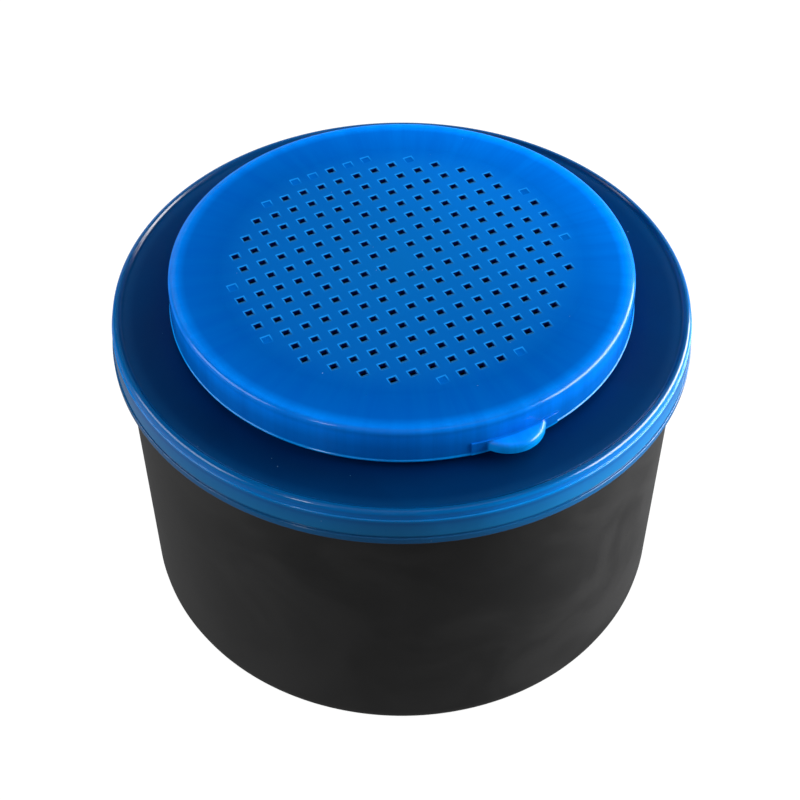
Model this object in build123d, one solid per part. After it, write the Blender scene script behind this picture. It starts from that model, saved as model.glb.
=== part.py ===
from build123d import *
import os

os.makedirs("parts", exist_ok=True)

# A round bait tub made of three mouldings: a black pot, a ring lid that snaps over its rim, and a small
# perforated cap that snaps over the ring lid's collar. Millimetres. The pot stands on z = 0, every piece is
# turned about Z, and the cap's thumb tab points towards -Y.

# Clearance between two pieces that seat on each other or slide past each other
SEAT_GAP = 0.3

# Pot
TUB_HEIGHT = 111.5
TUB_FOOT_RADIUS = 88.9
TUB_MOUTH_RADIUS = 90.3
TUB_WALL = 1.8
TUB_FLOOR = 2.0
TUB_EDGE_ROUND = 8.3
FOOT_RING_WIDTH = 9.0
FOOT_RING_DEPTH = 0.8
RIM_BAND_DEPTH = 0.9
RIM_BAND_HEIGHT = 6.7
RIM_TIP_WIDTH = 1.4
RIM_TIP_ROUND = 0.4

# Ring lid
LID_WALL = 1.4
LID_SKIRT_WALL = 1.3
LID_SKIRT_DRAFT = 0.3
LID_SNAP_DEPTH = 0.4
LID_BEAD_RISE = 1.0
LID_BEAD_WIDTH = 1.8
LID_BEAD_ROUND = 0.9
LID_BEAD_FOOT_ROUND = 1.5
LID_SIDE_HEIGHT = 3.1
LID_LIP_HEIGHT = 2.6
LID_LIP_PROUD = 0.4
LID_LIP_BELOW_BAND = 0.8
LID_GROOVE = 0.3

# Collar of the ring lid
OPENING_RADIUS = 70.0
COLLAR_WALL = 1.5
COLLAR_HEIGHT = 12.5
COLLAR_FOOT_ROUND = 1.5
COLLAR_BEAD_DEPTH = 0.7
COLLAR_BEAD_HEIGHT = 5.0

# Perforated cap
CAP_PLATE = 1.5
CAP_WALL = 1.3
CAP_SKIRT_HEIGHT = 12.2
CAP_SKIRT_FLARE = 0.6
CAP_EDGE_ROUND = 1.2
CAP_INNER_ROUND = 1.0
CAP_SNAP_DEPTH = 0.5
CAP_SNAP_HEIGHT = 1.8
CAP_SNAP_RISE = 1.8

# Grid of square holes in the cap. The outermost ones stay closed, and those left open fill a circle that
# lies a little towards the tab.
HOLE_PITCH = 6.55
HOLE_WIDTH = 2.4
FLARE_WIDTH = 3.6
FLARE_DEPTH = 0.3
GRID_MARGIN = 15.6
OPEN_MARGIN = 17.0
OPEN_SHIFT = 0.35

# Thumb tab of the cap, and the low pad that it stands on
TAB_RADIUS = 11.5
TAB_REACH = 5.6
TAB_RISE = 4.7
TAB_DEPTH = 3.6
TAB_WALL = 1.4
TAB_EDGE_ROUND = 0.8
PAD_WIDTH = 29.0
PAD_PROUD = 0.2

# Small roundings on the free edges of the mouldings
EDGE_ROUND = 0.3


def turned(corners):
    """Revolve a closed outline about Z. Each corner is its radius, its height and its rounding."""
    outline = FilletPolyline(
        *[(radius, 0, height) for radius, height, _ in corners],
        radius=[rounding for _, _, rounding in corners],
        close=True,
    )
    return revolve(make_face(outline), axis=Axis.Z)


def tub_outside(height):
    """Radius of the pot's tapered outside wall at a height."""
    return TUB_FOOT_RADIUS + (TUB_MOUTH_RADIUS - TUB_FOOT_RADIUS) * height / TUB_HEIGHT


# Heights and radii that one piece takes from another

band_radius = TUB_MOUTH_RADIUS + RIM_BAND_DEPTH
band_bottom = TUB_HEIGHT - RIM_BAND_HEIGHT
rim_tip_inside = band_radius - RIM_TIP_WIDTH

panel_under = TUB_HEIGHT + SEAT_GAP
panel_top = panel_under + LID_WALL
bead_top = panel_top + LID_BEAD_RISE
lid_bore = band_radius + SEAT_GAP
lip_top = band_bottom - LID_LIP_BELOW_BAND
lip_bottom = lip_top - LID_LIP_HEIGHT

collar_neck = OPENING_RADIUS + COLLAR_WALL
collar_bead = collar_neck + COLLAR_BEAD_DEPTH
collar_top = panel_top + COLLAR_HEIGHT

cap_under = collar_top + SEAT_GAP
cap_top = cap_under + CAP_PLATE
cap_bottom = cap_top - CAP_SKIRT_HEIGHT
cap_bore = collar_bead + SEAT_GAP
cap_outside = cap_bore + CAP_WALL


def make_tub():
    """Pot with a foot ring under it and a thick band round its rim, chamfered inside at the mouth."""
    foot_outside = TUB_FOOT_RADIUS - TUB_EDGE_ROUND
    foot_inside = foot_outside - FOOT_RING_WIDTH
    floor_top = FOOT_RING_DEPTH + TUB_FLOOR
    mouth_inside = TUB_MOUTH_RADIUS - TUB_WALL
    chamfer = rim_tip_inside - mouth_inside
    return turned(
        [
            (0, FOOT_RING_DEPTH, 0),
            (foot_inside, FOOT_RING_DEPTH, 0),
            (foot_inside, 0, 0),
            (TUB_FOOT_RADIUS, 0, TUB_EDGE_ROUND),
            (tub_outside(band_bottom - RIM_BAND_DEPTH), band_bottom - RIM_BAND_DEPTH, 0),
            (band_radius, band_bottom, EDGE_ROUND),
            (band_radius, TUB_HEIGHT, RIM_TIP_ROUND),
            (rim_tip_inside, TUB_HEIGHT, RIM_TIP_ROUND),
            (mouth_inside, TUB_HEIGHT - chamfer, 0),
            (tub_outside(floor_top) - TUB_WALL, floor_top, TUB_EDGE_ROUND - TUB_WALL),
            (0, floor_top, 0),
        ]
    )


def make_main_lid():
    """Ring lid: a flat ring over the pot's rim, with a bead and a lipped skirt outside, and a collar."""
    side_outside = lid_bore + LID_SKIRT_WALL
    bead_inside = side_outside - LID_BEAD_WIDTH
    skirt_bore = lid_bore + LID_SNAP_DEPTH
    skirt_outside = skirt_bore + LID_SKIRT_WALL
    skirt_foot = skirt_outside + LID_SKIRT_DRAFT
    step = bead_top - LID_SIDE_HEIGHT
    collar_chamfer = collar_top - COLLAR_BEAD_HEIGHT
    return turned(
        [
            (OPENING_RADIUS, panel_under, EDGE_ROUND),
            (lid_bore, panel_under, 0),
            (lid_bore, step, 0),
            (skirt_bore, step - LID_SNAP_DEPTH, 0),
            (skirt_bore + LID_SKIRT_DRAFT, lip_top, 0),
            (lid_bore, lip_top - LID_LIP_HEIGHT / 3, 0),
            (lid_bore, lip_bottom + LID_LIP_HEIGHT / 3, 0),
            (skirt_bore + LID_SKIRT_DRAFT, lip_bottom, 0),
            (skirt_foot + LID_LIP_PROUD, lip_bottom, 2 * EDGE_ROUND),
            (skirt_foot + LID_LIP_PROUD, lip_top, EDGE_ROUND),
            (skirt_foot - LID_GROOVE, lip_top, 0),
            (skirt_foot - LID_GROOVE, lip_top + LID_GROOVE, 0),
            (skirt_foot, lip_top + 2 * LID_GROOVE, 0),
            (skirt_outside, step, EDGE_ROUND),
            (side_outside, step, 0),
            (side_outside, bead_top, LID_BEAD_ROUND),
            (bead_inside, bead_top, LID_BEAD_ROUND),
            (bead_inside - LID_BEAD_RISE, panel_top, LID_BEAD_FOOT_ROUND),
            (collar_neck, panel_top, COLLAR_FOOT_ROUND),
            (collar_neck, collar_chamfer - COLLAR_BEAD_DEPTH, 0),
            (collar_bead, collar_chamfer, EDGE_ROUND),
            (collar_bead, collar_top, CAP_INNER_ROUND - SEAT_GAP),
            (OPENING_RADIUS, collar_top, EDGE_ROUND),
        ]
    )


def cap_shell():
    """Cap without holes or tab: flat plate, soft edge, flared skirt and a snap bead inside its foot."""
    snap_middle = cap_bottom + CAP_SNAP_RISE
    cap_foot_bore = cap_bore + CAP_SKIRT_FLARE
    return turned(
        [
            (0, cap_under, 0),
            (cap_bore, cap_under, CAP_INNER_ROUND),
            (cap_foot_bore, snap_middle + CAP_SNAP_HEIGHT / 2, 0),
            (cap_foot_bore - CAP_SNAP_DEPTH, snap_middle, EDGE_ROUND),
            (cap_foot_bore, snap_middle - CAP_SNAP_HEIGHT / 2, 0),
            (cap_foot_bore, cap_bottom, 0),
            (cap_outside + CAP_SKIRT_FLARE, cap_bottom, EDGE_ROUND),
            (cap_outside, cap_top, CAP_EDGE_ROUND),
            (0, cap_top, 0),
        ]
    )


def grid_places():
    """Centres of the grid's holes. The middle one is left out, where the plastic entered the mould."""
    outer = OPENING_RADIUS - GRID_MARGIN
    count = int(outer / HOLE_PITCH) + 1
    for column in range(-count, count + 1):
        for row in range(-count, count + 1):
            place = Vector(column, row) * HOLE_PITCH
            if 0 < place.length <= outer:
                yield place


def is_open(place):
    """Whether the hole at this place goes through the plate."""
    return (place + Vector(0, OPEN_SHIFT)).length <= OPENING_RADIUS - OPEN_MARGIN


def flare():
    """Shallow square funnel at the top of every hole."""
    neck = Pos(0, 0, -FLARE_DEPTH) * Rectangle(HOLE_WIDTH, HOLE_WIDTH)
    return loft([Rectangle(FLARE_WIDTH, FLARE_WIDTH), neck])


def make_thumb_tab():
    """Half-disc tab with a turned-down edge, on a low pad on the cap's skirt. It points towards -Y."""
    tab_top = cap_bottom + TAB_RISE
    disc_centre = -(cap_outside + CAP_SKIRT_FLARE / 2 + TAB_REACH - TAB_RADIUS)
    disc = Pos(0, disc_centre, tab_top - TAB_DEPTH / 2) * Cylinder(TAB_RADIUS, TAB_DEPTH)
    disc = fillet(disc.faces().sort_by(Axis.Z)[-1].edges(), TAB_EDGE_ROUND)
    pocket_depth = TAB_DEPTH - TAB_WALL
    pocket_middle = tab_top - TAB_WALL - pocket_depth / 2
    pocket = Pos(0, disc_centre, pocket_middle) * Cylinder(TAB_RADIUS - TAB_WALL, pocket_depth)
    pad_band = turned(
        [
            (cap_bore + CAP_SKIRT_FLARE, cap_bottom, 0),
            (cap_outside + CAP_SKIRT_FLARE + PAD_PROUD, cap_bottom, EDGE_ROUND),
            (cap_outside + CAP_SKIRT_FLARE + PAD_PROUD, tab_top, EDGE_ROUND),
            (cap_bore + CAP_SKIRT_FLARE, tab_top, 0),
        ]
    )
    pad = pad_band & Pos(0, -cap_outside, tab_top) * Box(PAD_WIDTH, cap_outside, 2 * CAP_SKIRT_HEIGHT)
    # The tab starts inside the skirt's wall, so that the two are one moulding
    inside_of_cap = Pos(0, 0, tab_top) * Cylinder(cap_outside - CAP_WALL / 2, 2 * CAP_SKIRT_HEIGHT)
    return (disc - pocket - inside_of_cap) + pad


def make_vent_lid():
    """Perforated cap: the shell with its tab, less the holes and the funnels of the closed ones."""
    closed_hole = flare()
    open_hole = closed_hole + Pos(0, 0, -CAP_PLATE / 2) * Box(HOLE_WIDTH, HOLE_WIDTH, CAP_PLATE)
    cutters = []
    for place in grid_places():
        hole = open_hole if is_open(place) else closed_hole
        cutters.append(Pos(place.X, place.Y, cap_top) * hole)
    return cap_shell() + make_thumb_tab() - cutters


export_step(make_tub(), "parts/tub.step")
export_step(make_main_lid(), "parts/main_lid.step")
export_step(make_vent_lid(), "parts/vent_lid.step")
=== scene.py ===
import math

import bmesh
import bpy
from mathutils import Matrix, Vector


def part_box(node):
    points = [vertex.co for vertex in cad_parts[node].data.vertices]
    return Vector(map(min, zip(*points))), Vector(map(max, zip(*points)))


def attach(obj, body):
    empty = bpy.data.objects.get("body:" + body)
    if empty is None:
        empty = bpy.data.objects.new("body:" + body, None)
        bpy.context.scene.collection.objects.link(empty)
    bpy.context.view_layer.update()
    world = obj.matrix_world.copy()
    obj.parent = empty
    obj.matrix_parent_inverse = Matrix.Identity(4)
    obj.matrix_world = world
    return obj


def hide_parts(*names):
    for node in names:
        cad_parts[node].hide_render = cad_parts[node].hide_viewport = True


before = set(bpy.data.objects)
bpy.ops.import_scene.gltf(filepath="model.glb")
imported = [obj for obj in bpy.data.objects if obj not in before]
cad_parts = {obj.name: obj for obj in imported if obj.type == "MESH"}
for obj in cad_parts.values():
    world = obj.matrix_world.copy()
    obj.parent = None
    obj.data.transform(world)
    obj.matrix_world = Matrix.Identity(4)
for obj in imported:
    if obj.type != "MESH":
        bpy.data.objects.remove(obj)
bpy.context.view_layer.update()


# The black pot is one injection moulding in satin black polypropylene. It stands on a flat foot ring, its
# wall leans out by less than a degree, and a thick band round its rim holds the lid. The section also has the
# trees and material groups that the lids share, because the pot is the first piece that is made with them.

MM = 0.001
MERGE_DISTANCE = 0.001 * MM
TURNED_STEPS = 256
ROUNDING_STEPS = 7
SHARP_ANGLE = math.radians(38)


def wire(tree, kind, feeds=None, **settings):
    """Adds a node with these settings. Each feed is an input's name or place, and its socket or value."""
    made = tree.nodes.new(kind)
    for key, value in settings.items():
        setattr(made, key, value)
    for key, value in (feeds or {}).items():
        if isinstance(value, bpy.types.NodeSocket):
            tree.links.new(value, made.inputs[key])
        else:
            made.inputs[key].default_value = value
    return made


def sums(tree, operation, *values):
    """One Math node, and the socket with its result."""
    return wire(tree, "ShaderNodeMath", dict(enumerate(values)), operation=operation).outputs[0]


def vectors(tree, operation, *values):
    """One Vector Math node, and the socket with its result: a number for a length or a dot product."""
    made = wire(tree, "ShaderNodeVectorMath", dict(enumerate(values)), operation=operation)
    return made.outputs["Value" if operation in ("LENGTH", "DOT_PRODUCT") else "Vector"]


def new_tree(name, kind, inputs, outputs):
    """An empty node group with named sockets. Returns it, its Group Input node and its Group Output node."""
    tree = bpy.data.node_groups.new(name, kind)
    for in_out, sockets in (("INPUT", inputs), ("OUTPUT", outputs)):
        for socket_name, socket_kind, value in sockets:
            kind_name = "NodeSocket" + socket_kind
            socket = tree.interface.new_socket(socket_name, in_out=in_out, socket_type=kind_name)
            if value is not None:
                socket.default_value = value
    return tree, tree.nodes.new("NodeGroupInput"), tree.nodes.new("NodeGroupOutput")


def make_finish_tree():
    """Tree that shades a moulding smooth up to its sharp edges, and gives it its material."""
    tree, given, result = new_tree(
        "Finished moulding",
        "GeometryNodeTree",
        [
            ("Moulding", "Geometry", None),
            ("Sharp angle", "Float", SHARP_ANGLE),
            ("Material", "Material", None),
        ],
        [("Moulding", "Geometry", None)],
    )
    feed = given.outputs
    fold = wire(tree, "GeometryNodeInputMeshEdgeAngle").outputs["Unsigned Angle"]
    soft = wire(tree, "FunctionNodeCompare", {"A": fold, "B": feed["Sharp angle"]}, operation="LESS_THAN")
    smooth = wire(tree, "GeometryNodeSetShadeSmooth", {"Geometry": feed["Moulding"], "Shade Smooth": True})
    edged = wire(
        tree,
        "GeometryNodeSetShadeSmooth",
        {"Geometry": smooth.outputs[0], "Shade Smooth": soft.outputs[0]},
        domain="EDGE",
    )
    solid = wire(tree, "GeometryNodeRealizeInstances", {"Geometry": edged.outputs[0]})
    painted = wire(
        tree, "GeometryNodeSetMaterial", {"Geometry": solid.outputs[0], "Material": feed["Material"]}
    )
    tree.links.new(painted.outputs[0], result.inputs["Moulding"])
    return tree


def make_turned_tree():
    """Tree that rounds the corners of an outline, turns it about Z and closes it into one skin."""
    tree, given, result = new_tree(
        "Turned moulding",
        "GeometryNodeTree",
        [
            ("Outline", "Geometry", None),
            ("Steps", "Int", TURNED_STEPS),
            ("Rounding steps", "Int", ROUNDING_STEPS),
            ("Closed outline", "Bool", False),
            ("Sharp angle", "Float", SHARP_ANGLE),
            ("Material", "Material", None),
        ],
        [("Moulding", "Geometry", None)],
    )
    feed = given.outputs
    line = wire(tree, "GeometryNodeMeshToCurve", {"Mesh": feed["Outline"]})
    rounding = wire(tree, "GeometryNodeInputNamedAttribute", {"Name": "rounding"}, data_type="FLOAT")
    rounded = wire(
        tree,
        "GeometryNodeFilletCurve",
        {"Curve": line.outputs[0], "Count": feed["Rounding steps"], "Radius": rounding.outputs[0]},
        mode="POLY",
    )
    size = wire(tree, "GeometryNodeAttributeDomainSize", {0: rounded.outputs[0]}, component="CURVE")
    points = size.outputs["Point Count"]
    rows = sums(tree, "ADD", points, feed["Closed outline"])
    columns = sums(tree, "ADD", feed["Steps"], 1)
    sheet = wire(
        tree,
        "GeometryNodeMeshGrid",
        {"Size X": 1.0, "Size Y": 1.0, "Vertices X": rows, "Vertices Y": columns},
    )
    index = wire(tree, "GeometryNodeInputIndex").outputs[0]
    row = sums(tree, "MODULO", sums(tree, "FLOOR", sums(tree, "DIVIDE", index, columns)), points)
    column = sums(tree, "MODULO", index, columns)
    angle = sums(tree, "DIVIDE", sums(tree, "MULTIPLY", column, math.tau), feed["Steps"])
    place = wire(tree, "GeometryNodeInputPosition").outputs[0]
    corner = wire(
        tree,
        "GeometryNodeSampleIndex",
        {"Geometry": rounded.outputs[0], "Value": place, "Index": row},
        data_type="FLOAT_VECTOR",
    )
    split = wire(tree, "ShaderNodeSeparateXYZ", {0: corner.outputs[0]})
    radius, height = split.outputs["X"], split.outputs["Z"]
    turned = wire(
        tree,
        "ShaderNodeCombineXYZ",
        {
            "X": sums(tree, "MULTIPLY", radius, sums(tree, "COSINE", angle)),
            "Y": sums(tree, "MULTIPLY", radius, sums(tree, "SINE", angle)),
            "Z": height,
        },
    )
    skin = wire(
        tree, "GeometryNodeSetPosition", {"Geometry": sheet.outputs[0], "Position": turned.outputs[0]}
    )
    closed = wire(
        tree, "GeometryNodeMergeByDistance", {"Geometry": skin.outputs[0], "Distance": MERGE_DISTANCE}
    )
    outward = wire(tree, "GeometryNodeFlipFaces", {"Mesh": closed.outputs[0]})
    finished = wire(
        tree,
        "GeometryNodeGroup",
        {"Moulding": outward.outputs[0], "Sharp angle": feed["Sharp angle"], "Material": feed["Material"]},
        node_tree=finish_tree,
    )
    tree.links.new(finished.outputs[0], result.inputs["Moulding"])
    return tree


def add_object(name, data):
    """A new object with this data, linked into the scene at the origin."""
    made = bpy.data.objects.new(name, data)
    bpy.context.scene.collection.objects.link(made)
    return made


def outline_mesh(name, corners, closed=False):
    """Mesh of one broken line in the XZ plane. Each corner is its radius, its height and its rounding."""
    mesh = bpy.data.meshes.new(name)
    count = len(corners)
    edges = [(i, (i + 1) % count) for i in range(count if closed else count - 1)]
    mesh.from_pydata([(radius, 0, height) for radius, height, _ in corners], edges, [])
    rounding = mesh.attributes.new("rounding", "FLOAT", "POINT")
    rounding.data.foreach_set("value", [corner[2] for corner in corners])
    return mesh


def run_tree(piece, tree, **values):
    """Runs a tree on a piece and keeps the result as a plain mesh. In the names of values, _ is a space."""
    modifier = piece.modifiers.new(tree.name, "NODES")
    modifier.node_group = tree
    sockets = {item.name: item.identifier for item in tree.interface.items_tree if item.in_out == "INPUT"}
    for key, value in values.items():
        modifier[sockets[key.replace("_", " ")]] = value
    keep_result(piece)


def keep_result(piece):
    """Turns what a piece's modifiers make of it into its plain mesh, and takes the modifiers off."""
    seen = piece.evaluated_get(bpy.context.evaluated_depsgraph_get())
    made = bpy.data.meshes.new_from_object(seen)
    piece.modifiers.clear()
    piece.data = made
    made.name = piece.name


def turned_piece(name, corners, material, closed=False):
    """An object with the moulding that these corners give when they are turned about Z."""
    piece = add_object(name, outline_mesh(name + "_outline", corners, closed))
    run_tree(piece, turned_tree, Closed_outline=closed, Material=material)
    return piece


def even_shading(piece):
    """Makes wide faces keep their own normal, so that flat stretches shine flat and only roundings turn."""
    weighted = piece.modifiers.new("even_shading", "WEIGHTED_NORMAL")
    weighted.keep_sharp = True
    weighted.weight = 90


finish_tree = make_finish_tree()
turned_tree = make_turned_tree()

pot_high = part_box("tub")[1]
pot_height = pot_high.z
band_radius = pot_high.x
band_depth = 0.9 * MM
band_height = 6.7 * MM
mouth_radius = band_radius - band_depth
pot_lean = 1.4 * MM
foot_radius = mouth_radius - pot_lean
pot_wall = 1.8 * MM
pot_floor = 2.0 * MM
pot_round = 8.3 * MM
foot_ring_width = 9.0 * MM
foot_ring_depth = 0.8 * MM
rim_tip_width = 1.4 * MM
soft_edge = 0.35 * MM


def pot_outside(height):
    """Radius of the pot's leaning outside wall at a height."""
    return foot_radius + (mouth_radius - foot_radius) * height / pot_height


ring_outside = foot_radius - pot_round
ring_inside = ring_outside - foot_ring_width
floor_top = foot_ring_depth + pot_floor
band_bottom = pot_height - band_height
mouth_inside = mouth_radius - pot_wall
tip_inside = band_radius - rim_tip_width
pot_corners = [
    (0, foot_ring_depth, 0),
    (ring_inside - soft_edge, foot_ring_depth, soft_edge),
    (ring_inside, 0, soft_edge),
    (foot_radius, 0, pot_round),
    (pot_outside(band_bottom - band_depth), band_bottom - band_depth, soft_edge),
    (band_radius, band_bottom, soft_edge),
    (band_radius, pot_height, soft_edge),
    (tip_inside, pot_height, soft_edge),
    (mouth_inside, pot_height - (tip_inside - mouth_inside), soft_edge),
    (pot_outside(floor_top) - pot_wall, floor_top, pot_round - pot_wall),
    (0, floor_top, 0),
]


def make_place_group():
    """Shader group with a point's distance from the tub's axis, its height and its level direction."""
    tree, given, result = new_tree(
        "Turned place",
        "ShaderNodeTree",
        [],
        [("Radius", "Float", None), ("Height", "Float", None), ("Direction", "Vector", None)],
    )
    spot = wire(tree, "ShaderNodeTexCoord").outputs["Object"]
    split = wire(tree, "ShaderNodeSeparateXYZ", {0: spot})
    flat = wire(tree, "ShaderNodeCombineXYZ", {"X": split.outputs["X"], "Y": split.outputs["Y"]}).outputs[0]
    tree.links.new(vectors(tree, "LENGTH", flat), result.inputs["Radius"])
    tree.links.new(split.outputs["Z"], result.inputs["Height"])
    tree.links.new(vectors(tree, "NORMALIZE", flat), result.inputs["Direction"])
    return tree


def noise(tree, vector, scale, detail, roughness, twist=0.0):
    """Noise between 0 and 1 on a vector."""
    feeds = {"Vector": vector, "Scale": scale, "Detail": detail, "Roughness": roughness, "Distortion": twist}
    return wire(tree, "ShaderNodeTexNoise", feeds).outputs["Fac"]


def between_colours(tree, share, first, second):
    """Colour that goes from the first to the second as share goes from 0 to 1."""
    mixed = wire(tree, "ShaderNodeMix", {0: share, 6: first, 7: second}, data_type="RGBA")
    return mixed.outputs[2]


def laid_over(tree, colour, mask, share, tint):
    """The colour with a tint laid over it where the mask is, at this share of full strength."""
    return between_colours(tree, sums(tree, "MULTIPLY", mask, share), colour, tint)


def ramp(tree, value, low, high, first=0.0, last=1.0):
    """Number that goes smoothly from first to last as value goes from low to high."""
    feeds = {"Value": value, "From Min": low, "From Max": high, "To Min": first, "To Max": last}
    return wire(tree, "ShaderNodeMapRange", feeds, interpolation_type="SMOOTHSTEP").outputs[0]


def colour_bands(tree, value, bands):
    """Colour read from bands that run into each other. Each band is a value and the colour there."""
    low = bands[0][0]
    high = bands[-1][0]
    share = wire(tree, "ShaderNodeMapRange", {"Value": value, "From Min": low, "From Max": high})
    made = wire(tree, "ShaderNodeValToRGB", {"Fac": share.outputs[0]})
    stops = made.color_ramp.elements
    while len(stops) < len(bands):
        stops.new(0.5)
    for stop, (place, colour) in zip(stops, bands):
        stop.position = (place - low) / (high - low)
        stop.color = (*colour, 1)
    return made.outputs["Color"]


def new_finish(name):
    """A material with nodes. Returns it, its node tree and its Principled BSDF."""
    material = bpy.data.materials.new(name)
    material.use_nodes = True
    return material, material.node_tree, material.node_tree.nodes["Principled BSDF"]


def make_marks_group():
    """Shader group with the marks of moulded plastic, each between 0 and 1, and a normal with its fine grain.

    Clouds are soft blotches, Streaks run outwards along the way the plastic flowed, and Specks are dust."""
    tree, given, result = new_tree(
        "Moulding marks",
        "ShaderNodeTree",
        [
            ("Cloud scale", "Float", 30.0),
            ("Cloud twist", "Float", 0.6),
            ("Streaks round", "Float", 9.0),
            ("Speck scale", "Float", 240.0),
            ("Speck size", "Float", 0.06),
            ("Grain scale", "Float", 2000.0),
            ("Grain depth", "Float", 0.1),
        ],
        [
            ("Clouds", "Float", None),
            ("Streaks", "Float", None),
            ("Specks", "Float", None),
            ("Normal", "Vector", None),
        ],
    )
    feed = given.outputs
    streaks_outwards = 18.0
    half_the_cells = 0.5
    grain_height = 0.02 * MM
    contrast = (0.3, 0.7)
    spot = wire(tree, "ShaderNodeTexCoord").outputs["Object"]
    clouds = noise(tree, spot, feed["Cloud scale"], detail=4.0, roughness=0.55, twist=feed["Cloud twist"])
    place = wire(tree, "ShaderNodeGroup", node_tree=place_group).outputs
    spread = wire(
        tree,
        "ShaderNodeVectorMath",
        {0: place["Direction"], "Scale": feed["Streaks round"]},
        operation="SCALE",
    )
    along = wire(
        tree, "ShaderNodeCombineXYZ", {"Z": sums(tree, "MULTIPLY", place["Radius"], streaks_outwards)}
    )
    flow = vectors(tree, "ADD", spread.outputs[0], along.outputs[0])
    streaks = noise(tree, flow, scale=1.0, detail=4.0, roughness=0.65)
    cells = wire(tree, "ShaderNodeTexVoronoi", {"Vector": spot, "Scale": feed["Speck scale"]})
    lot = wire(tree, "ShaderNodeSeparateColor", {0: cells.outputs["Color"]}).outputs[0]
    size = sums(tree, "MULTIPLY", sums(tree, "SUBTRACT", lot, half_the_cells), feed["Speck size"])
    specks = sums(tree, "LESS_THAN", cells.outputs["Distance"], size)
    grain = noise(tree, spot, feed["Grain scale"], detail=2.0, roughness=0.5)
    bump = wire(
        tree, "ShaderNodeBump", {"Height": grain, "Strength": feed["Grain depth"], "Distance": grain_height}
    )
    tree.links.new(ramp(tree, clouds, *contrast), result.inputs["Clouds"])
    tree.links.new(ramp(tree, streaks, *contrast), result.inputs["Streaks"])
    tree.links.new(specks, result.inputs["Specks"])
    tree.links.new(bump.outputs[0], result.inputs["Normal"])
    return tree


place_group = make_place_group()
marks_group = make_marks_group()

black_plastic, tree, shader = new_finish("black_plastic")
marks = wire(
    tree,
    "ShaderNodeGroup",
    {"Cloud scale": 26.0, "Cloud twist": 1.2, "Grain scale": 2600.0, "Grain depth": 0.15},
    node_tree=marks_group,
).outputs
colour = between_colours(tree, marks["Clouds"], (0.0155, 0.0155, 0.016, 1), (0.0285, 0.0285, 0.029, 1))
colour = laid_over(tree, colour, marks["Specks"], share=0.3, tint=(0.1, 0.1, 0.1, 1))
tree.links.new(colour, shader.inputs["Base Color"])
clear_roughness = 0.42
smoky_roughness = 0.1
roughness = sums(tree, "MULTIPLY_ADD", marks["Clouds"], smoky_roughness, clear_roughness)
tree.links.new(roughness, shader.inputs["Roughness"])
tree.links.new(marks["Normal"], shader.inputs["Normal"])
shader.inputs["Specular IOR Level"].default_value = 0.5
pot = turned_piece("black_pot", pot_corners, black_plastic)
even_shading(pot)
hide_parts("tub")
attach(pot, "tub")


# The ring lid is moulded in see-through blue polyethylene. Its flat panel, with a low bead round the edge,
# lies over the pot's rim. A skirt with a click bead inside its lip goes down round the rim's band, and a
# collar with a bead of its own rises round the opening, for the cap to click over.

seat_gap = 0.3 * MM
lid_wall = 1.4 * MM
skirt_wall = 1.3 * MM
skirt_draft = 0.3 * MM
lid_snap_depth = 0.4 * MM
bead_rise = 1.0 * MM
bead_width = 1.8 * MM
bead_outer_round = 1.5 * MM
bead_inner_round = 0.6 * MM
bead_foot_round = 1.5 * MM
side_height = 3.1 * MM
lip_height = 2.6 * MM
lip_proud = 0.4 * MM
lip_below_band = 0.8 * MM
groove = 0.3 * MM
opening_radius = 70.0 * MM
collar_wall = 1.5 * MM
collar_foot_round = 1.5 * MM
collar_bead_depth = 0.7 * MM
collar_bead_height = 5.0 * MM
fine_edge = 0.15 * MM

lid_low, lid_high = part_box("main_lid")
panel_under = pot_height + seat_gap
panel_top = panel_under + lid_wall
bead_top = panel_top + bead_rise
lid_bore = band_radius + seat_gap
lip_top = band_bottom - lip_below_band
lip_bottom = lip_top - lip_height
collar_neck = opening_radius + collar_wall
collar_bead = collar_neck + collar_bead_depth
collar_top = lid_high.z
step = bead_top - side_height
side_outside = lid_bore + skirt_wall
bead_inside = side_outside - bead_width
skirt_bore = lid_bore + lid_snap_depth
skirt_outside = skirt_bore + skirt_wall
skirt_foot = skirt_outside + skirt_draft
collar_chamfer = collar_top - collar_bead_height
ring_lid_corners = [
    (opening_radius, panel_under, soft_edge),
    (lid_bore, panel_under, soft_edge),
    (lid_bore, step, fine_edge),
    (skirt_bore, step - lid_snap_depth, fine_edge),
    (skirt_bore + skirt_draft, lip_top, fine_edge),
    (lid_bore, lip_top - lip_height / 3, soft_edge),
    (lid_bore, lip_bottom + lip_height / 3, soft_edge),
    (skirt_bore + skirt_draft, lip_bottom, soft_edge),
    (skirt_foot + lip_proud, lip_bottom, 2 * soft_edge),
    (skirt_foot + lip_proud, lip_top, soft_edge),
    (skirt_foot - groove, lip_top, fine_edge),
    (skirt_foot - groove, lip_top + groove, fine_edge),
    (skirt_foot, lip_top + 2 * groove, fine_edge),
    (skirt_outside, step, soft_edge),
    (side_outside, step, fine_edge),
    (side_outside, bead_top, bead_outer_round),
    (bead_inside, bead_top, bead_inner_round),
    (bead_inside - bead_rise, panel_top, bead_foot_round),
    (collar_neck, panel_top, collar_foot_round),
    (collar_neck, collar_chamfer - collar_bead_depth, fine_edge),
    (collar_bead, collar_chamfer, soft_edge),
    (collar_bead, collar_top, 2 * soft_edge),
    (opening_radius, collar_top, soft_edge),
]


def reach_towards(tree, direction):
    """How far a point lies from the tub's axis towards this level direction."""
    spot = wire(tree, "ShaderNodeTexCoord").outputs["Object"]
    return vectors(tree, "DOT_PRODUCT", spot, direction)


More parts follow.
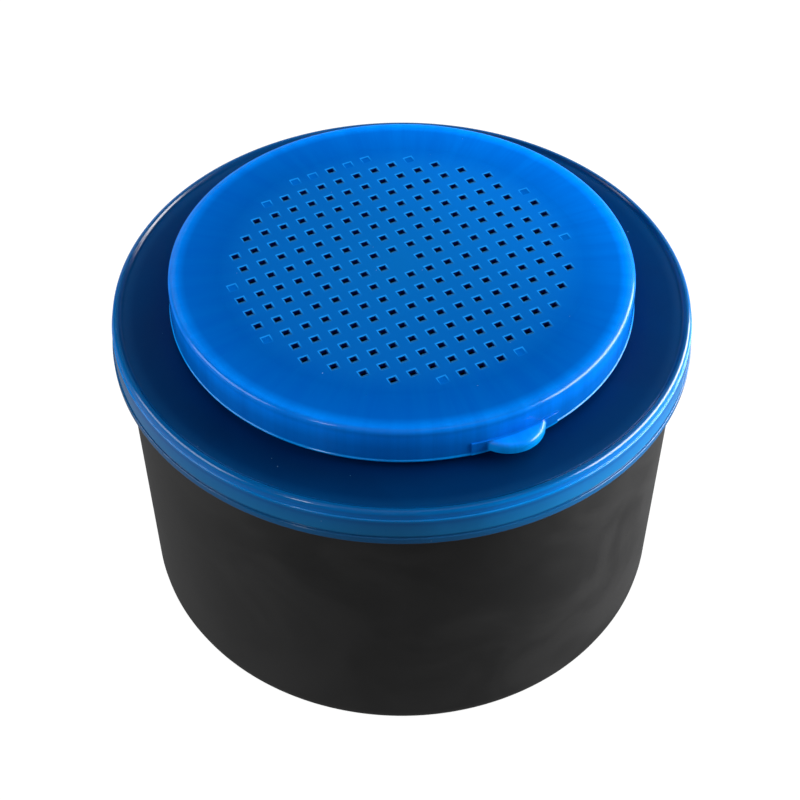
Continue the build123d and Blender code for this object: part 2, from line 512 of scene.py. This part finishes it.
# Bands of colour stand in for the light that passes through the plastic, more of it where a wall is thin:
# painted light. The panel's bands are a little darker next to the collar, a painted shadow of the cap, and
# the skirt's bands are darker on the side away from lit_side, as painted shade.
no_light = (0.0, 0.0, 0.0, 1)
lit_side = (0.74, -0.67, 0.0)
lit_fade = (20 * MM, 92 * MM)
side_fade = (side_outside - 1.0 * MM, side_outside - 0.1 * MM)
sheen_fade = (bead_inside - 2.5 * MM, bead_inside - 0.5 * MM)
bead_fade = (bead_inside - 5.0 * MM, bead_inside - 1.0 * MM)
collar_fade = (collar_bead + 0.3 * MM, collar_bead + 1.3 * MM)

tinted_plastic, tree, shader = new_finish("tinted_blue_plastic")
place = wire(tree, "ShaderNodeGroup", node_tree=place_group).outputs
marks = wire(
    tree,
    "ShaderNodeGroup",
    {
        "Cloud scale": 40.0,
        "Speck scale": 230.0,
        "Speck size": 0.15,
        "Grain scale": 500.0,
        "Grain depth": 0.06,
    },
    node_tree=marks_group,
).outputs
ring_top_light_bands = colour_bands(
    tree,
    place["Radius"],
    [
        (opening_radius, (0.0, 0.014, 0.085)),
        (opening_radius + 6.0 * MM, (0.0, 0.016, 0.082)),
        (opening_radius + 10.0 * MM, (0.0, 0.0185, 0.08)),
        (bead_inside - 5.0 * MM, (0.0, 0.0205, 0.084)),
        (bead_inside - 1.2 * MM, (0.0, 0.032, 0.115)),
        (bead_inside - 0.5 * MM, (0.0, 0.04, 0.14)),
        (bead_inside + 0.3 * MM, (0.0, 0.06, 0.19)),
        (side_outside - 0.3 * MM, (0.0, 0.085, 0.3)),
    ],
)
ring_side_light_bands = colour_bands(
    tree,
    place["Height"],
    [
        (lid_low.z, (0.012, 0.1, 0.24)),
        (lid_low.z + 0.7 * MM, (0.01, 0.175, 0.48)),
        (lip_top - 0.4 * MM, (0.01, 0.175, 0.48)),
        (lip_top, (0.008, 0.12, 0.34)),
        (lip_top + 1.2 * MM, (0.008, 0.275, 0.71)),
        (step - 2.5 * MM, (0.008, 0.245, 0.7)),
        (step - 1.2 * MM, (0.006, 0.18, 0.6)),
        (step - 0.2 * MM, (0.0, 0.295, 0.88)),
        (step + 0.8 * MM, (0.0, 0.28, 1.0)),
        (bead_top, (0.0, 0.19, 0.6)),
    ],
)
darker = ramp(tree, reach_towards(tree, lit_side), *lit_fade, first=0.38, last=0.0)
ring_side_light_bands = between_colours(tree, darker, ring_side_light_bands, no_light)
colour = between_colours(tree, ramp(tree, place["Radius"], *side_fade), ring_top_light_bands, ring_side_light_bands)
colour = laid_over(tree, colour, marks["Clouds"], share=0.12, tint=(0.0, 0.0, 0.02, 1))
colour = laid_over(tree, colour, marks["Specks"], share=0.25, tint=(0.2, 0.35, 0.5, 1))
tree.links.new(colour, shader.inputs["Base Color"])
sheen = ramp(tree, place["Radius"], *sheen_fade, first=0.22, last=0.15)
unevenness = ramp(tree, marks["Clouds"], 0.0, 1.0, first=-0.02, last=0.02)
tree.links.new(sums(tree, "ADD", sheen, unevenness), shader.inputs["Roughness"])
tree.links.new(marks["Normal"], shader.inputs["Normal"])
on_bead = ramp(tree, place["Radius"], *bead_fade, first=0.06, last=0.5)
on_collar = ramp(tree, place["Radius"], *collar_fade, first=0.35, last=0.0)
shine = sums(tree, "MAXIMUM", on_bead, on_collar)
tree.links.new(shine, shader.inputs["Specular IOR Level"])
ring_lid = turned_piece("ring_lid", ring_lid_corners, tinted_plastic, closed=True)
even_shading(ring_lid)
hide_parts("main_lid")
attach(ring_lid, "main_lid")


# The cap is moulded in brighter, milkier blue polyethylene. Its matt plate has a grid of square holes that
# widen upwards, with a sliver of flash in each, its glossy skirt flares out to a rolled lip, and a thumb tab
# with a turned-down edge stands on a low pad.

cap_plate = 1.5 * MM
cap_wall = 1.3 * MM
cap_flare = 0.6 * MM
cap_edge_round = 1.6 * MM
cap_inner_round = 1.0 * MM
cap_snap_depth = 0.5 * MM
cap_snap_height = 1.8 * MM
cap_snap_rise = 1.8 * MM
lip_roll = 0.45 * MM
hole_pitch = 6.55 * MM
hole_width = 2.4 * MM
flare_width = 3.6 * MM
flare_depth = 0.3 * MM
flash_width = 0.55 * MM
flash_ends = 0.15 * MM
grid_radius = opening_radius - 15.6 * MM
open_radius = opening_radius - 17.0 * MM
open_shift = 0.35 * MM
flat_radius = 60.0 * MM
tab_radius = 11.5 * MM
tab_reach = 5.6 * MM
tab_rise = 4.7 * MM
tab_depth = 3.6 * MM
tab_wall = 1.4 * MM
tab_edge_round = 1.6 * MM
pad_width = 29.0 * MM
pad_proud = 0.2 * MM
cutter_margin = 0.2 * MM

cap_low, cap_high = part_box("vent_lid")
cap_top = cap_high.z
cap_bottom = cap_low.z
cap_under = cap_top - cap_plate
cap_bore = collar_bead + seat_gap
cap_outside = cap_bore + cap_wall
cap_foot_bore = cap_bore + cap_flare
cap_foot = cap_outside + cap_flare
snap_middle = cap_bottom + cap_snap_rise
cap_corners = [
    (flat_radius, cap_under, 0),
    (cap_bore, cap_under, cap_inner_round),
    (cap_foot_bore, snap_middle + cap_snap_height / 2, soft_edge),
    (cap_foot_bore - cap_snap_depth, snap_middle, soft_edge),
    (cap_foot_bore, snap_middle - cap_snap_height / 2, soft_edge),
    (cap_foot_bore, cap_bottom, fine_edge),
    (cap_foot, cap_bottom, fine_edge),
    (cap_foot, cap_bottom + lip_roll, fine_edge),
    (cap_foot - lip_roll / 2, cap_bottom + 1.5 * lip_roll, fine_edge),
    (cap_outside, cap_top, cap_edge_round),
    (flat_radius, cap_top, 0),
]
tab_top = cap_bottom + tab_rise
tab_middle = -(cap_outside + cap_flare / 2 + tab_reach - tab_radius)
tab_corners = [
    (0, tab_top - tab_wall, 0),
    (tab_radius - tab_wall, tab_top - tab_wall, soft_edge),
    (tab_radius - tab_wall, tab_top - tab_depth, soft_edge),
    (tab_radius, tab_top - tab_depth, soft_edge),
    (tab_radius, tab_top, tab_edge_round),
    (0, tab_top, 0),
]
pad_corners = [
    (cap_foot_bore, cap_bottom, 0),
    (cap_foot + pad_proud, cap_bottom, fine_edge),
    (cap_foot + pad_proud, tab_top, fine_edge),
    (cap_foot_bore, tab_top, 0),
]


def make_cap_tree():
    """Tree that closes the turned shell with its plate, adds the tab and the pad, and cuts the holes."""
    tree, given, result = new_tree(
        "Perforated cap",
        "GeometryNodeTree",
        [
            ("Shell outline", "Geometry", None),
            ("Thumb tab", "Object", None),
            ("Pad", "Object", None),
            ("Steps", "Int", TURNED_STEPS),
            ("Sharp angle", "Float", SHARP_ANGLE),
            ("Flat radius", "Float", flat_radius),
            ("Plate top", "Float", cap_top),
            ("Plate thickness", "Float", cap_plate),
            ("Hole pitch", "Float", hole_pitch),
            ("Hole width", "Float", hole_width),
            ("Flare width", "Float", flare_width),
            ("Flare depth", "Float", flare_depth),
            ("Flash width", "Float", flash_width),
            ("Flash ends", "Float", flash_ends),
            ("Grid radius", "Float", grid_radius),
            ("Open radius", "Float", open_radius),
            ("Open shift", "Float", open_shift),
            ("Cutter margin", "Float", cutter_margin),
            ("Material", "Material", None),
        ],
        [("Moulding", "Geometry", None)],
    )
    feed = given.outputs
    shell = wire(
        tree,
        "GeometryNodeGroup",
        {"Outline": feed["Shell outline"], "Steps": feed["Steps"], "Material": feed["Material"]},
        node_tree=turned_tree,
    )
    disc = wire(
        tree,
        "GeometryNodeMeshCircle",
        {"Vertices": feed["Steps"], "Radius": feed["Flat radius"]},
        fill_type="NGON",
    )
    under_disc = wire(tree, "GeometryNodeFlipFaces", {"Mesh": disc.outputs[0]})
    under = sums(tree, "SUBTRACT", feed["Plate top"], feed["Plate thickness"])
    parts = [shell.outputs[0]]
    for face, height in ((disc, feed["Plate top"]), (under_disc, under)):
        lift = wire(tree, "ShaderNodeCombineXYZ", {"Z": height})
        moved = wire(
            tree,
            "GeometryNodeTransform",
            {"Geometry": face.outputs[0], "Translation": lift.outputs[0]},
        )
        parts.append(moved.outputs[0])
    joined = wire(tree, "GeometryNodeJoinGeometry")
    for part in parts:
        tree.links.new(part, joined.inputs[0])
    cap = wire(
        tree, "GeometryNodeMergeByDistance", {"Geometry": joined.outputs[0], "Distance": MERGE_DISTANCE}
    )
    additions = [
        wire(tree, "GeometryNodeObjectInfo", {"Object": feed[name]}).outputs["Geometry"]
        for name in ("Thumb tab", "Pad")
    ]
    whole = wire(tree, "GeometryNodeMeshBoolean", operation="UNION", solver="EXACT")
    for part in [cap.outputs[0]] + additions:
        tree.links.new(part, whole.inputs["Mesh 2"])

    above = feed["Cutter margin"]

    def square_pin(depth, low_width, high_width):
        """Four-sided pin that reaches from this depth in the plate up to the cutter margin above it."""
        pin = wire(
            tree,
            "GeometryNodeMeshCone",
            {
                "Vertices": 4,
                "Radius Top": sums(tree, "DIVIDE", high_width, math.sqrt(2)),
                "Radius Bottom": sums(tree, "DIVIDE", low_width, math.sqrt(2)),
                "Depth": sums(tree, "ADD", above, depth),
            },
        )
        lift = wire(tree, "ShaderNodeCombineXYZ", {"Z": sums(tree, "SUBTRACT", feed["Plate top"], depth)})
        turn = (0, 0, math.radians(45))
        return wire(
            tree,
            "GeometryNodeTransform",
            {"Geometry": pin.outputs[0], "Translation": lift.outputs[0], "Rotation": turn},
        ).outputs[0]

    reach = sums(tree, "CEIL", sums(tree, "DIVIDE", feed["Grid radius"], feed["Hole pitch"]))
    width = sums(tree, "MULTIPLY", sums(tree, "MULTIPLY", reach, 2.0), feed["Hole pitch"])
    count = sums(tree, "ADD", sums(tree, "MULTIPLY", reach, 2.0), 1.0)
    lattice = wire(
        tree,
        "GeometryNodeMeshGrid",
        {"Size X": width, "Size Y": width, "Vertices X": count, "Vertices Y": count},
    )
    place = wire(tree, "GeometryNodeInputPosition").outputs[0]

    def away_from(shift):
        """Distance of a place from the point that lies this far from the axis towards the tab."""
        moved = wire(tree, "ShaderNodeCombineXYZ", {"Y": shift}).outputs[0]
        return vectors(tree, "LENGTH", vectors(tree, "ADD", place, moved))

    off_middle = sums(tree, "GREATER_THAN", away_from(0.0), sums(tree, "DIVIDE", feed["Hole pitch"], 2.0))
    in_grid = sums(tree, "LESS_THAN", away_from(0.0), feed["Grid radius"])
    anywhere = sums(tree, "MULTIPLY", off_middle, in_grid)
    in_reach = sums(tree, "LESS_THAN", away_from(feed["Open shift"]), feed["Open radius"])
    opened = sums(tree, "MULTIPLY", off_middle, in_reach)
    through = sums(tree, "ADD", feed["Plate thickness"], above)
    growth = sums(
        tree, "DIVIDE", sums(tree, "SUBTRACT", feed["Flare width"], feed["Hole width"]), feed["Flare depth"]
    )
    flare_top = sums(tree, "ADD", feed["Flare width"], sums(tree, "MULTIPLY", above, growth))
    square = square_pin(through, feed["Hole width"], feed["Hole width"])
    both_ends = sums(tree, "DIVIDE", sums(tree, "MULTIPLY", feed["Flash ends"], 2.0), feed["Hole width"])
    one_side = sums(tree, "DIVIDE", feed["Flash width"], feed["Hole width"])
    narrowed = wire(
        tree,
        "ShaderNodeCombineXYZ",
        {"X": sums(tree, "SUBTRACT", 1.0, both_ends), "Y": sums(tree, "SUBTRACT", 1.0, one_side), "Z": 1.0},
    )
    aside = wire(tree, "ShaderNodeCombineXYZ", {"Y": sums(tree, "DIVIDE", feed["Flash width"], 2.0)})
    hole_pin = wire(
        tree,
        "GeometryNodeTransform",
        {"Geometry": square, "Translation": aside.outputs[0], "Scale": narrowed.outputs[0]},
    ).outputs[0]
    flare_pin = square_pin(feed["Flare depth"], feed["Hole width"], flare_top)
    pierced = wire(
        tree, "GeometryNodeMeshBoolean", {"Mesh 1": whole.outputs[0]}, operation="DIFFERENCE", solver="EXACT"
    )
    for where, pin in ((opened, hole_pin), (anywhere, flare_pin)):
        spots = wire(tree, "GeometryNodeMeshToPoints", {"Mesh": lattice.outputs[0], "Selection": where})
        pins = wire(tree, "GeometryNodeInstanceOnPoints", {"Points": spots.outputs[0], "Instance": pin})
        cutters = wire(tree, "GeometryNodeRealizeInstances", {"Geometry": pins.outputs[0]})
        tree.links.new(cutters.outputs[0], pierced.inputs["Mesh 2"])
    finished = wire(
        tree,
        "GeometryNodeGroup",
        {"Moulding": pierced.outputs[0], "Sharp angle": feed["Sharp angle"], "Material": feed["Material"]},
        node_tree=finish_tree,
    )
    tree.links.new(finished.outputs[0], result.inputs["Moulding"])
    return tree


def cut_with(piece, tool, operation):
    """Runs one Boolean modifier, keeps its result as the piece's mesh, and throws the tool away."""
    modifier = piece.modifiers.new("cut", "BOOLEAN")
    modifier.operation = operation
    modifier.solver = "EXACT"
    modifier.object = tool
    keep_result(piece)
    bpy.data.objects.remove(tool)


def block(name, middle, sides):
    """A plain block to cut with, given by its middle and its sides."""
    shape = bmesh.new()
    bmesh.ops.create_cube(shape, size=1, matrix=Matrix.Translation(middle) @ Matrix.Diagonal((*sides, 1)))
    mesh = bpy.data.meshes.new(name)
    shape.to_mesh(mesh)
    shape.free()
    return add_object(name, mesh)


# The plate's bands are paler towards the side given below, as painted light that falls from there. In the
# grid, a mouth's slope, the flash below it and the painted shade of the hole are told apart by their depth
# under the plate's top.
plate_light_side = (0.95, 0.31, 0.0)
plate_light_fade = (-5 * MM, 75 * MM)
plate_fade = (cap_outside - 2.8 * MM, cap_outside - 1.0 * MM)
skirt_fade = (cap_outside - 1.0 * MM, cap_outside - 0.2 * MM)
tab_fade = (cap_foot + 0.3 * MM, cap_foot + 1.0 * MM)
tab_rim_fade = (tab_top - 1.8 * MM, tab_top - 0.3 * MM)
grid_fade = (grid_radius + 2 * MM, grid_radius + 3 * MM)
streak_fade = (flat_radius - 20 * MM, flat_radius + 2 * MM)
mouth_lit_fade = (-1.8 * MM, 1.0 * MM)
mouth_depths = (0.01 * MM, 0.12 * MM)
flash_depths = (0.22 * MM, 0.28 * MM)
hole_depths = (0.31 * MM, 0.38 * MM)

blue_plastic, tree, shader = new_finish("bright_blue_plastic")
place = wire(tree, "ShaderNodeGroup", node_tree=place_group).outputs
marks = wire(
    tree,
    "ShaderNodeGroup",
    {
        "Cloud scale": 36.0,
        "Streaks round": 14.0,
        "Speck scale": 230.0,
        "Speck size": 0.09,
        "Grain scale": 700.0,
        "Grain depth": 0.05,
    },
    node_tree=marks_group,
).outputs
# The plate's bands brighten towards its edge: painted light that glows through the corner where plate meets
# skirt.
plate_glow_bands = colour_bands(
    tree,
    place["Radius"],
    [
        (0, (0.002, 0.126, 0.441)),
        (flat_radius - 10.0 * MM, (0.0014, 0.109, 0.434)),
        (flat_radius - 2.0 * MM, (0.0, 0.094, 0.42)),
        (cap_outside - 5.3 * MM, (0.0, 0.108, 0.49)),
        (cap_outside - 2.4 * MM, (0.0, 0.196, 0.81)),
        (cap_outside - 0.6 * MM, (0.0, 0.224, 0.92)),
    ],
)
darker = ramp(tree, reach_towards(tree, plate_light_side), *plate_light_fade, first=0.343, last=0.0)
plate_glow_bands = between_colours(tree, darker, plate_glow_bands, no_light)
# The skirt's bands stand in for the light that passes through the plastic: painted light, bright along the
# lip, darker just above it and brighter again towards the top.
cap_skirt_light_bands = colour_bands(
    tree,
    place["Height"],
    [
        (cap_bottom, (0.0, 0.27, 0.85)),
        (cap_bottom + 0.7 * MM, (0.0, 0.25, 0.8)),
        (cap_bottom + 1.2 * MM, (0.0, 0.14, 0.6)),
        (cap_bottom + 5 * MM, (0.0, 0.155, 0.68)),
        (cap_top - 3 * MM, (0.0, 0.22, 0.96)),
        (cap_top - 1 * MM, (0.0, 0.2, 0.85)),
    ],
)
colour = between_colours(tree, ramp(tree, place["Radius"], *skirt_fade), plate_glow_bands, cap_skirt_light_bands)
# The tab is painted brighter than the skirt, and brighter still down its turned-down edge: painted light.
on_tab = ramp(tree, place["Radius"], *tab_fade)
colour = between_colours(tree, on_tab, colour, (0.0, 0.24, 0.95, 1))
tab_edge_light = ramp(tree, place["Height"], *tab_rim_fade, first=1.0, last=0.0)
colour = laid_over(tree, colour, on_tab, share=tab_edge_light, tint=(0.0, 0.33, 1.0, 1))
in_grid = ramp(tree, place["Radius"], *grid_fade, first=1.0, last=0.0)
spot = wire(tree, "ShaderNodeTexCoord").outputs["Object"]
moved = vectors(tree, "ADD", spot, (hole_pitch / 2, hole_pitch / 2, 0))
snapped = vectors(tree, "SNAP", moved, (hole_pitch, hole_pitch, 1))
cell = vectors(tree, "MULTIPLY", snapped, (1, 1, 0))
reach = vectors(tree, "LENGTH", vectors(tree, "ADD", cell, (0, open_shift, 0)))
opened = sums(tree, "MULTIPLY", sums(tree, "LESS_THAN", reach, open_radius), in_grid)
depth = sums(tree, "SUBTRACT", cap_top, place["Height"])
from_tab = wire(tree, "ShaderNodeSeparateXYZ", {0: vectors(tree, "SUBTRACT", spot, cell)}).outputs["Y"]
# The mouths' slopes get a painted highlight, stronger on their side away from the tab.
lit = ramp(tree, from_tab, *mouth_lit_fade, first=0.1, last=0.8)
mouth_highlight = sums(tree, "MULTIPLY", ramp(tree, depth, *mouth_depths), in_grid)
colour = laid_over(tree, colour, mouth_highlight, share=lit, tint=(0.006, 0.19, 0.6, 1))
# The flash and the dimples' floors are painted darker than the plate, and deeper down the hole is painted
# near black: painted shade in the holes.
flash = sums(tree, "MULTIPLY", ramp(tree, depth, *flash_depths), in_grid)
dimple = between_colours(tree, opened, (0.0, 0.07, 0.31, 1), (0.008, 0.07, 0.19, 1))
colour = between_colours(tree, flash, colour, dimple)
hole_shade = ramp(tree, depth, *hole_depths)
colour = laid_over(tree, colour, hole_shade, share=in_grid, tint=(0.0, 0.01, 0.11, 1))
around = ramp(tree, place["Radius"], *streak_fade, first=0.0, last=0.2)
colour = laid_over(tree, colour, marks["Streaks"], share=around, tint=(0.0, 0.03, 0.25, 1))
colour = laid_over(tree, colour, marks["Specks"], share=0.3, tint=(0.3, 0.5, 0.8, 1))
tree.links.new(colour, shader.inputs["Base Color"])
roughness = ramp(tree, marks["Clouds"], 0.0, 1.0, first=0.14, last=0.19)
tree.links.new(roughness, shader.inputs["Roughness"])
tree.links.new(marks["Normal"], shader.inputs["Normal"])
shine = ramp(tree, place["Radius"], *plate_fade, first=0.0, last=0.3)
tree.links.new(shine, shader.inputs["Specular IOR Level"])

tab = turned_piece("thumb_tab", tab_corners, blue_plastic)
tab.data.transform(Matrix.Translation((0, tab_middle, 0)))
middle_of_wall = cap_outside - cap_wall / 2
inside_of_cap = turned_piece(
    "inside_of_cap",
    [(0, 0, 0), (middle_of_wall, 0, 0), (middle_of_wall, cap_top, 0), (0, cap_top, 0)],
    blue_plastic,
)
cut_with(tab, inside_of_cap, "DIFFERENCE")
pad = turned_piece("pad", pad_corners, blue_plastic, closed=True)
pad_block = block("pad_block", (0, -cap_outside, tab_top), (pad_width, cap_outside, cap_top))
cut_with(pad, pad_block, "INTERSECT")

cap = add_object("perforated_cap", outline_mesh("cap_outline", cap_corners))
run_tree(cap, make_cap_tree(), Thumb_tab=tab, Pad=pad, Material=blue_plastic)
bpy.data.objects.remove(tab)
bpy.data.objects.remove(pad)
even_shading(cap)
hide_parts("vent_lid")
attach(cap, "vent_lid")


# Studio: a plain white floor and backdrop under soft light, as in a product picture. The fill lights give the
# surfaces their colour and don't show in the gloss. The softboxes, the lamp and the cards show only in the
# gloss, where they draw the streaks along the rims.

camera_turn = math.radians(-27.04)
towards_camera = Vector((math.sin(camera_turn), -math.cos(camera_turn), 0))
to_the_right = Vector((math.cos(camera_turn), math.sin(camera_turn), 0))

floor = add_object("floor", bpy.data.meshes.new("floor"))
floor_half = 40.0
floor_corners = [(x * floor_half, y * floor_half, 0) for x, y in ((-1, -1), (1, -1), (1, 1), (-1, 1))]
floor.data.from_pydata(floor_corners, [], [(0, 1, 2, 3)])

# The camera sees a white floor. What reaches the tub from it is dim, and dimmer towards the camera.
floor_paint, tree, shader = new_finish("white_floor")
shader.inputs["Base Color"].default_value = (0.05, 0.05, 0.05, 1)
shader.inputs["Roughness"].default_value = 0.9
shader.inputs["Specular IOR Level"].default_value = 0.0
shader.inputs["Emission Color"].default_value = (1, 1, 1, 1)
shader.inputs["Emission Strength"].default_value = 0.99
front_fade = (0.0, 200 * MM)
glow = ramp(tree, reach_towards(tree, towards_camera), *front_fade, first=0.22, last=0.085)
dim = wire(tree, "ShaderNodeEmission", {"Strength": glow})
seen = wire(tree, "ShaderNodeLightPath").outputs["Is Camera Ray"]
either = wire(tree, "ShaderNodeMixShader", {0: seen, 1: dim.outputs[0], 2: shader.outputs[0]})
tree.links.new(either.outputs[0], tree.nodes["Material Output"].inputs["Surface"])
floor.data.materials.append(floor_paint)

camera_rise = math.radians(42.056)
camera_reach = 0.52725
camera_pitch = math.radians(45.806)
aim = Vector((0, 0, bead_top))
camera = add_object("camera", bpy.data.cameras.new("camera"))
camera.data.lens = 73.47
camera.data.sensor_width = 36
camera.data.shift_x = -0.0023
camera.location = aim + camera_reach * (
    towards_camera * math.cos(camera_rise) + Vector((0, 0, math.sin(camera_rise)))
)
looking = Matrix.Rotation(camera_turn, 4, "Z") @ Matrix.Rotation(math.radians(90) - camera_pitch, 4, "X")
camera.rotation_euler = looking.to_euler()
bpy.context.scene.camera = camera


def softbox(name, turn, rise, distance, width, height, power, in_gloss):
    """A rectangular light that faces the tub, and shows either in the gloss of surfaces or in their colour.

    Turn is measured from the camera's side and rise from the ring lid's height, in degrees."""
    lamp = bpy.data.lights.new(name, "AREA")
    lamp.shape = "RECTANGLE"
    lamp.size, lamp.size_y = width, height
    lamp.energy = power
    box = add_object(name, lamp)
    turn, rise = math.radians(turn), math.radians(rise)
    away = (towards_camera * math.cos(turn) + to_the_right * math.sin(turn)) * math.cos(rise)
    away.z = math.sin(rise)
    box.location = aim + away * distance
    box.rotation_euler = away.to_track_quat("Z", "Y").to_euler()
    box.visible_camera = False
    box.visible_glossy = in_gloss
    box.visible_diffuse = not in_gloss


for name, turn, rise, distance, width, height, power in (
    ("key_fill", 90, 18, 0.8, 0.5, 0.7, 11.6),
    ("back_right_fill", 132, 39, 0.8, 0.7, 0.5, 6.0),
    ("back_left_fill", -150, 30, 0.8, 0.5, 0.35, 3.9),
    ("left_fill", -80, 27, 0.8, 0.6, 0.35, 4.2),
    ("front_left_fill", -15, 34, 0.8, 0.6, 0.35, 1.45),
    ("top_fill", 0, 89.9, 0.9, 0.7, 0.7, 0.75),
):
    softbox(name, turn, rise, distance, width, height, power, in_gloss=False)
for name, turn, rise, distance, width, height, power in (
    ("right_softbox", 96, 20, 1.0, 1.25, 0.55, 33),
    ("left_softbox", -82, 25, 1.0, 0.75, 0.5, 4.6),
    ("front_lamp", -36, 36, 1.0, 0.1, 0.22, 0.8),
    ("top_card", 0, 72, 1.0, 1.0, 0.5, 0.7),
    ("back_card", 180, 17, 1.2, 2.0, 0.5, 1.4),
):
    softbox(name, turn, rise, distance, width, height, power, in_gloss=True)

# The camera sees a white backdrop too. The world lights the tub only faintly, and doesn't show in its gloss.
world = bpy.data.worlds.new("world")
world.use_nodes = True
tree = world.node_tree
faint = tree.nodes["Background"]
faint.inputs["Color"].default_value = (1, 1, 1, 1)
faint.inputs["Strength"].default_value = 0.01
white = wire(tree, "ShaderNodeBackground", {"Color": (1, 1, 1, 1), "Strength": 1.0})
seen = wire(tree, "ShaderNodeLightPath").outputs["Is Camera Ray"]
either = wire(tree, "ShaderNodeMixShader", {0: seen, 1: faint.outputs[0], 2: white.outputs[0]})
tree.links.new(either.outputs[0], tree.nodes["World Output"].inputs["Surface"])
bpy.context.scene.world = world
world.cycles_visibility.glossy = False
bpy.context.scene.view_settings.view_transform = "Standard"
